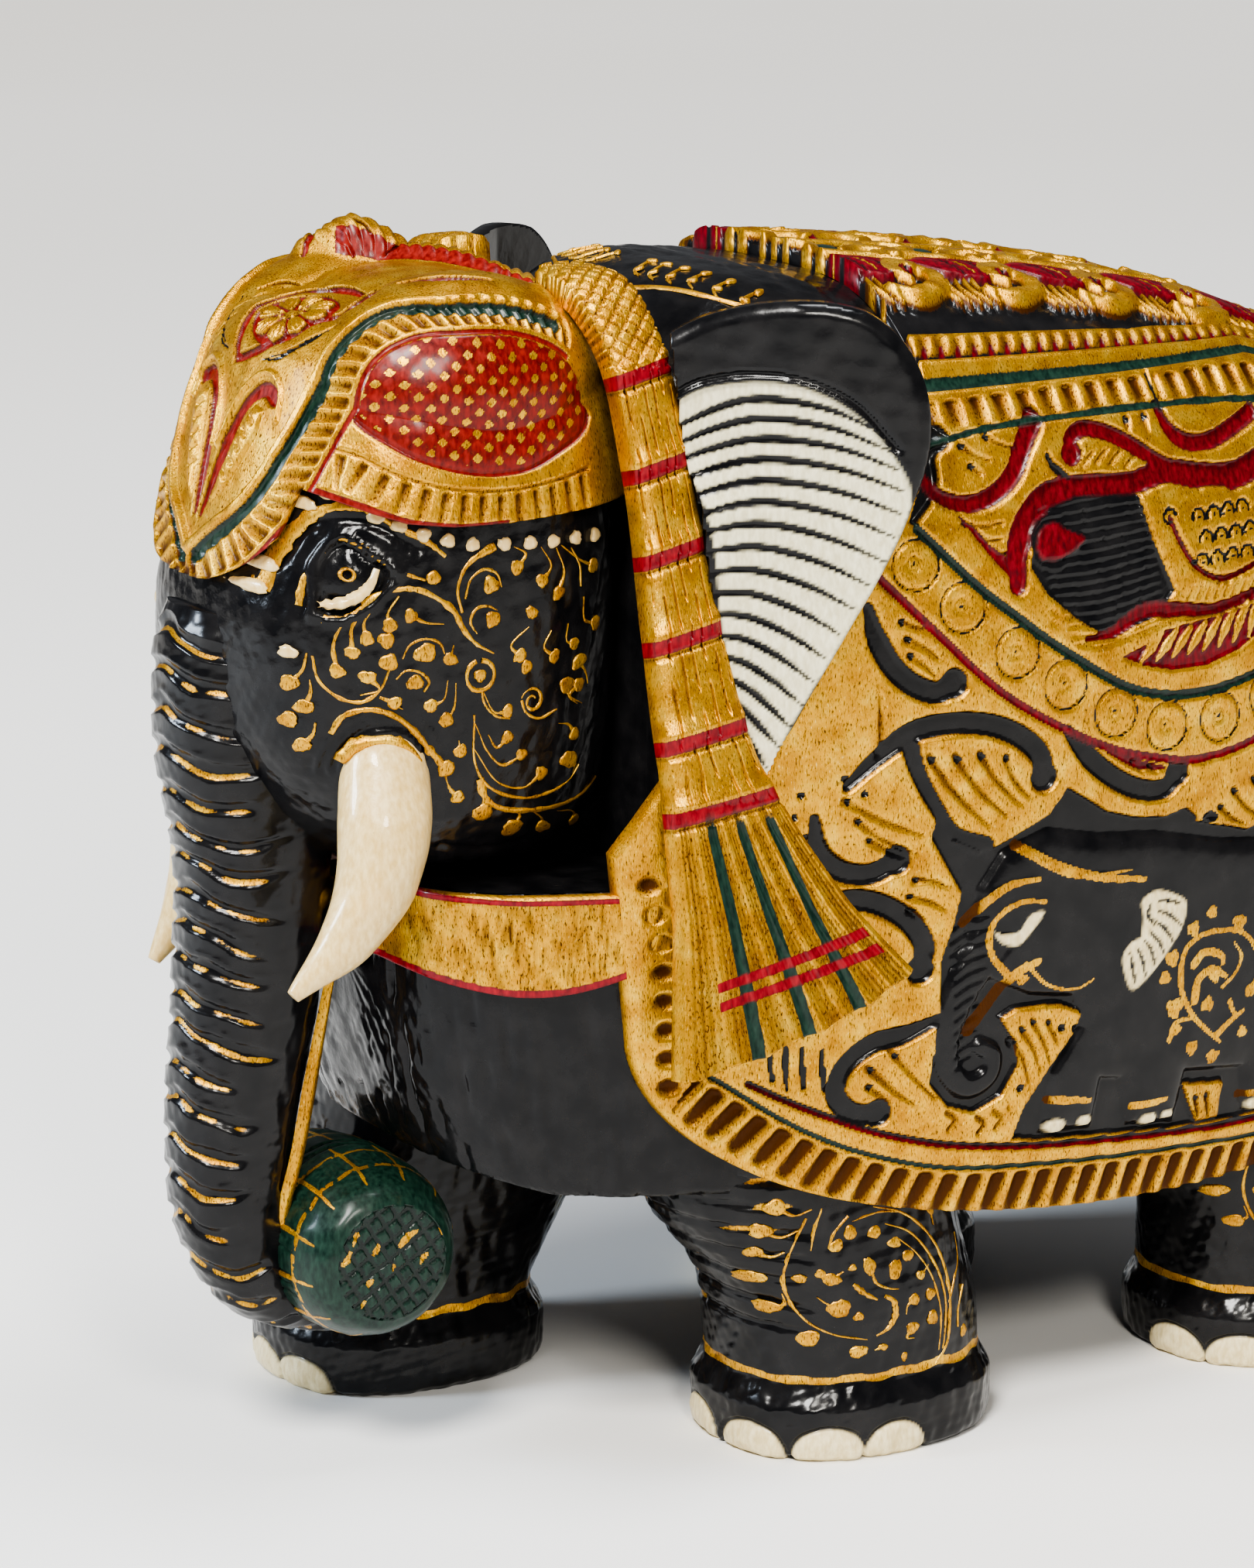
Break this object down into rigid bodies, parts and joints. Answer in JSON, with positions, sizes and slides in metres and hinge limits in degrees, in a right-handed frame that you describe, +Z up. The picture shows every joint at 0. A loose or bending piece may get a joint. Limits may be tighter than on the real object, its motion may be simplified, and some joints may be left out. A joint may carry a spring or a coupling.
{
  "type": "carved wooden elephant",
  "caption": "Carved and painted standing elephant figurine with a saddle cloth, headdress, side tassels, collar and a small log held in its trunk.",
  "frame": {"origin": "on the ground, at the middle of the figure's outer box", "axes": "+Z up, the elephant faces -Y, its left side is +X"},
  "size_m": [0.1768, 0.3374, 0.2876],
  "materials": {
    "black_lacquer": "hardwood under glossy black lacquer with fine gold brushwork",
    "ear_paint": "cream inner face with thin black stripes, glossy black rim and back",
    "headdress_paint": "satin metallic gold paint over carving, with crimson and dark green paint in the recesses",
    "gold_paint": "satin metallic gold paint over tool marks, brown in the cuts, with crimson bands",
    "cloth_paint": "carved relief in metallic gold, with black, crimson and dark green recesses",
    "ivory_paint": "cream gloss paint",
    "green_paint": "dark green gloss paint with gold plaid lines",
    "bare_wood": "unpainted hardwood dowel"
  },
  "bodies": {
    "root": {"torso": "black_lacquer", "head": "black_lacquer", "trunk": "black_lacquer", "leg_front_left": "black_lacquer", "leg_front_right": "black_lacquer", "leg_rear_left": "black_lacquer", "leg_rear_right": "black_lacquer", "ear_left": "ear_paint", "ear_right": "ear_paint", "tail": "black_lacquer", "headdress": "headdress_paint", "collar": "gold_paint", "tassel_left": "gold_paint", "tassel_right": "gold_paint", "saddle_cloth_left": "cloth_paint", "saddle_cloth_right": "cloth_paint", "saddle_top": "cloth_paint", "tusk_left": "ivory_paint", "tusk_right": "ivory_paint", "trunk_log": "green_paint", "neck_dowel": "bare_wood", "trunk_dowel": "bare_wood", "tail_dowel": "bare_wood", "ear_left_dowel": "bare_wood", "ear_right_dowel": "bare_wood", "leg_front_left_dowel": "bare_wood", "leg_front_right_dowel": "bare_wood", "leg_rear_left_dowel": "bare_wood", "leg_rear_right_dowel": "bare_wood"}
  },
  "joints": []
}
